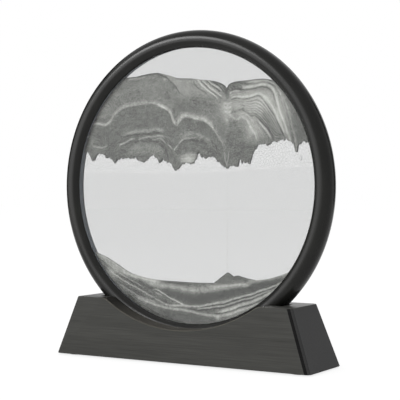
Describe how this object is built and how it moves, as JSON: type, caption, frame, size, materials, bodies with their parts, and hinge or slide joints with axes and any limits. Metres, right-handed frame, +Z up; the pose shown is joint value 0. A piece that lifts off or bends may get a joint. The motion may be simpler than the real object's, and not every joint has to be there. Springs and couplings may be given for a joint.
{
  "type": "moving sand picture",
  "caption": "Round glass cell of liquid, sand and air bubbles in a black ring that stands, turns and lifts out of a slotted wooden base.",
  "frame": {"origin": "on the table, under the middle of the base", "axes": "+Z up, front of the picture towards -Y, +X to the right seen from the front"},
  "size_m": [0.18, 0.0402, 0.1911],
  "materials": {
    "ring_plastic": "satin black, moulded",
    "stained_wood": "black stain with fine grain along its length",
    "pane_glass": "clear, polished",
    "liquid": "clear liquid",
    "bubbles": "raft of air bubbles",
    "sealant": "matt grey sealant",
    "silicone": "milky silicone",
    "foam": "black closed-cell foam",
    "grey_sand": "fine loose grain",
    "pale_sand": "fine loose grain",
    "striped_sand": "fine loose grain in thin stripes",
    "dark_sand": "fine loose grain"
  },
  "bodies": {
    "base": {"base_block": "stained_wood", "foot_pad_1": "foam", "foot_pad_2": "foam", "foot_pad_3": "foam", "foot_pad_4": "foam"},
    "liquid_films": {"front_liquid_film": "liquid", "rear_liquid_film": "liquid"},
    "round_frame": {"front_ring": "ring_plastic", "rear_ring": "ring_plastic", "front_glass": "pane_glass", "rear_glass": "pane_glass", "front_gasket": "foam", "rear_gasket": "foam", "cell_spacer": "sealant", "fill_plug": "silicone", "upper_sand_crest": "grey_sand", "upper_sand_seam": "pale_sand", "upper_sand_bank": "grey_sand", "upper_sand_fan": "striped_sand", "fallen_cone": "dark_sand", "lower_sand_drift": "dark_sand", "lower_sand_bed": "pale_sand", "bubble_layer": "bubbles", "falling_sand": "dark_sand", "upper_liquid": "liquid", "lower_liquid": "liquid"}
  },
  "joints": [
    {"name": "lift_out", "type": "slide", "parent": "base", "child": "liquid_films", "axis": [0, 0, 1], "range_m": [0, 0.06]},
    {"name": "turn", "type": "hinge", "parent": "liquid_films", "child": "round_frame", "pos_m": [0, 0, 0.1011], "axis": [0, 1, 0], "continuous": true}
  ]
}
